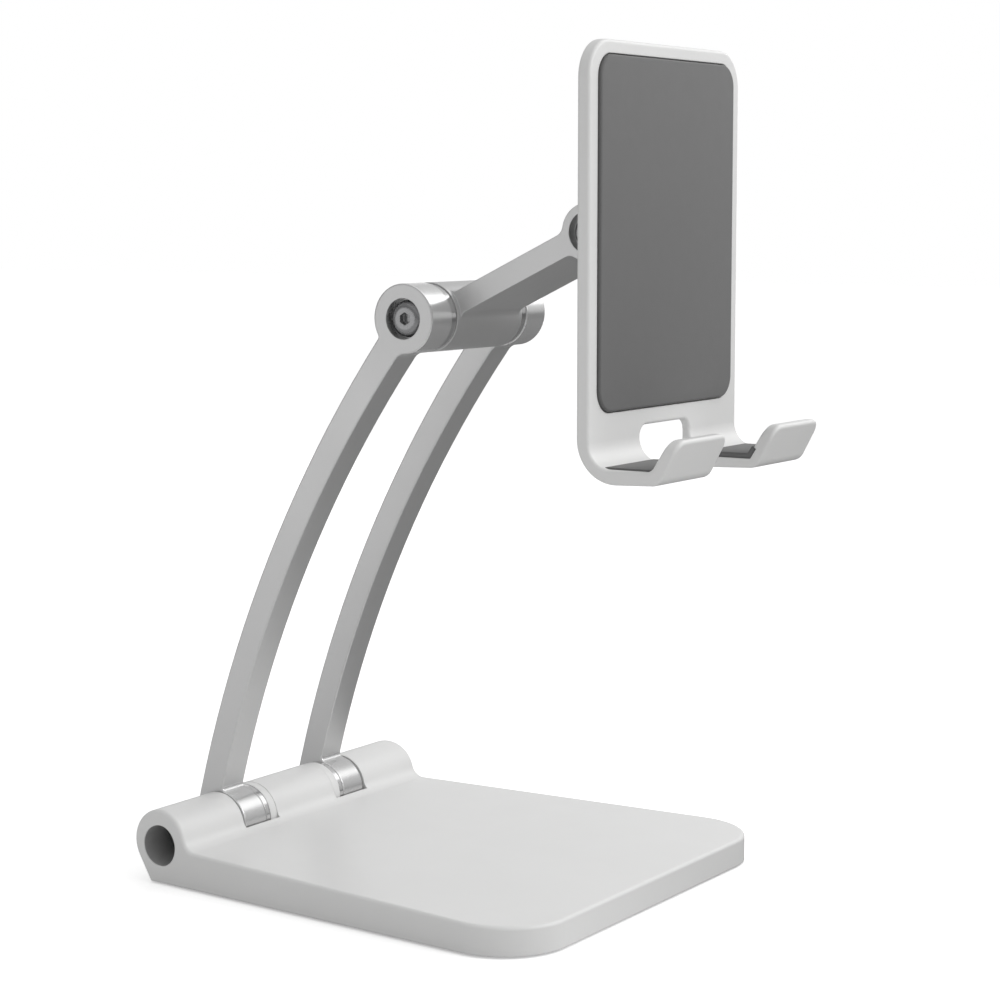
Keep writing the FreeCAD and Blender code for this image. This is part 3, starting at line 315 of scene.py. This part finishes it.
silicone_piece("back_pad", "holder", 0.45 * MM, 4)
for side in ("left", "right"):
    silicone_piece("ledge_pad_" + side, "holder", 0.3 * MM, 3)
silicone_piece("base_mat", "base", 0.2 * MM, 3, ((0, 0, -1), 2.5 * MM, 0.15 * MM))


# ---------------------------------------------------------------- studio
def studio_floor():
    """Pale floor; it throws back less light than it shows, and more on the left than on the right."""
    surface = Finish("studio_floor", (0.93, 0.93, 0.93), 0.8)
    surface.shader.inputs["Emission Color"].default_value = (1.0, 1.0, 1.0, 1.0)
    surface.shader.inputs["Emission Strength"].default_value = 0.42
    surface.finish((surface.noise(6.0, 2.0), 0.02), (surface.noise(30.0, 2.0), 0.05),
                   ((surface.noise(900.0, 2.0), 0.01 * MM),), 0.1 * MM)
    tree = surface.tree
    spot = surface.node("SeparateXYZ", {"Vector": surface.place})
    bounce = surface.node("MapRange", {"Value": spot.outputs["X"], "From Min": -0.08, "From Max": 0.04,
                                       "To Min": 0.82, "To Max": 0.22})
    dim = surface.node("BsdfDiffuse", {"Color": bounce.outputs["Result"]})
    ray = surface.node("LightPath")
    mixed = surface.node("MixShader", {0: ray.outputs["Is Camera Ray"], 1: dim.outputs["BSDF"],
                                       2: surface.shader.outputs["BSDF"]})
    tree.links.new(mixed.outputs["Shader"], tree.nodes["Material Output"].inputs["Surface"])
    reach = 4.0
    mesh = bpy.data.meshes.new("floor")
    corners = [(sx * reach, sy * reach, 0.0) for sx, sy in ((-1, -1), (1, -1), (1, 1), (-1, 1))]
    mesh.from_pydata(corners, [], [(0, 1, 2, 3)])
    mesh.materials.append(surface.material)
    floor = bpy.data.objects.new("floor", mesh)
    bpy.context.scene.collection.objects.link(floor)


def studio_light():
    """Soft dome, brightest overhead and a little to the front, and four soft panels aimed at the stand."""
    world = bpy.data.worlds.new("studio")
    bpy.context.scene.world = world
    world.use_nodes = True
    tree = world.node_tree
    place = tree.nodes.new("ShaderNodeTexCoord")
    height = tree.nodes.new("ShaderNodeVectorMath")
    height.operation = "DOT_PRODUCT"
    height.inputs[1].default_value = Vector((0.18, -0.34, 1.0)).normalized()
    ramp = tree.nodes.new("ShaderNodeValToRGB")
    ray = tree.nodes.new("ShaderNodeLightPath")
    mixed = tree.nodes.new("ShaderNodeMix")
    mixed.data_type = "RGBA"
    steps = ((0.0, 0.10), (0.5, 0.36), (0.70, 0.58), (1.0, 0.88))
    for index, (spot, level) in enumerate(steps):
        stop = ramp.color_ramp.elements[index] if index < 2 else ramp.color_ramp.elements.new(spot)
        stop.position = spot
        stop.color = (level, level, level, 1.0)
    tree.links.new(place.outputs["Generated"], height.inputs[0])
    lift = tree.nodes.new("ShaderNodeMapRange")
    lift.inputs["From Min"].default_value = -1.0
    tree.links.new(height.outputs["Value"], lift.inputs["Value"])
    tree.links.new(lift.outputs["Result"], ramp.inputs["Fac"])
    tree.links.new(ray.outputs["Is Camera Ray"], mixed.inputs["Factor"])
    tree.links.new(ramp.outputs["Color"], mixed.inputs["A"])
    mixed.inputs["B"].default_value = (1.0, 1.0, 1.0, 1.0)
    tree.links.new(mixed.outputs["Result"], tree.nodes["Background"].inputs["Color"])
    for name, spot, wide, high, radiance in (
            ("front_panel", (0.20, -0.62, 0.44), 0.60, 0.42, 2.6),
            ("left_panel", (-0.70, 0.36, 0.05), 0.56, 0.35, 0.8),
            ("right_panel", (0.36, -0.18, 0.40), 0.26, 0.38, 1.15),
            ("back_panel", (0.85, 0.50, 0.26), 0.9, 0.4, 0.45)):
        lamp = bpy.data.lights.new(name, "AREA")
        lamp.shape = "RECTANGLE"
        lamp.size = wide
        lamp.size_y = high
        lamp.energy = radiance * math.pi * wide * high
        panel = bpy.data.objects.new(name, lamp)
        panel.location = spot
        aim = Vector((0.0, 0.0, 0.08)) - Vector(spot)
        panel.rotation_euler = aim.to_track_quat("-Z", "Y").to_euler()
        bpy.context.scene.collection.objects.link(panel)


def camera():
    """Long lens, left of the user and a little above the base, looking slightly down."""
    lens = bpy.data.cameras.new("camera")
    lens.sensor_width = 36.0
    lens.lens = 90.8
    lens.clip_start = 0.01
    eye = bpy.data.objects.new("camera", lens)
    eye.location = (-0.4741, -0.3174, 0.1534)
    eye.rotation_euler = (math.radians(90.0 - 6.66), 0.0, math.radians(-57.28))
    bpy.context.scene.collection.objects.link(eye)
    bpy.context.scene.camera = eye


studio_floor()
studio_light()
camera()
bpy.context.scene.view_settings.view_transform = "Standard"
